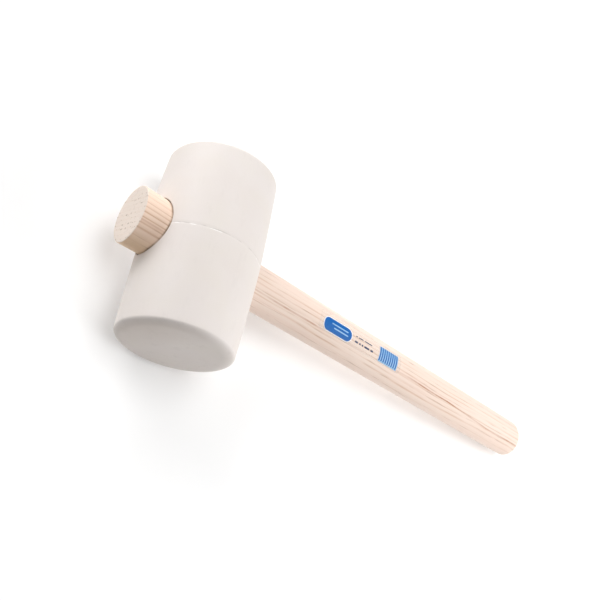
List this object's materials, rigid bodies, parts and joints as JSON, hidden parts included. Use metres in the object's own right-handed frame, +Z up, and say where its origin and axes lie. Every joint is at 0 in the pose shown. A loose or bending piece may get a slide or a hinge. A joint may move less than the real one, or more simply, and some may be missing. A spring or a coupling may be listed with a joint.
{
  "type": "rubber mallet",
  "caption": "Rubber mallet: a solid barrel-shaped moulded head jammed on the conical end of an oval wooden handle.",
  "frame": {"origin": "on the surface the mallet lies on, under the middle of its footprint", "axes": "+X along the handle from the head towards the grip, as seen from above; +Y along the head's axis, from one striking face to the other; +Z up"},
  "size_m": [0.3896, 0.1256, 0.075],
  "materials": {
    "white_rubber": "matt moulded",
    "ash_wood": "turned and sanded, thin clear wax",
    "printed_film": null
  },
  "bodies": {
    "root": {"rubber_head": "white_rubber", "handle": "ash_wood", "label_film": "printed_film"}
  },
  "joints": []
}
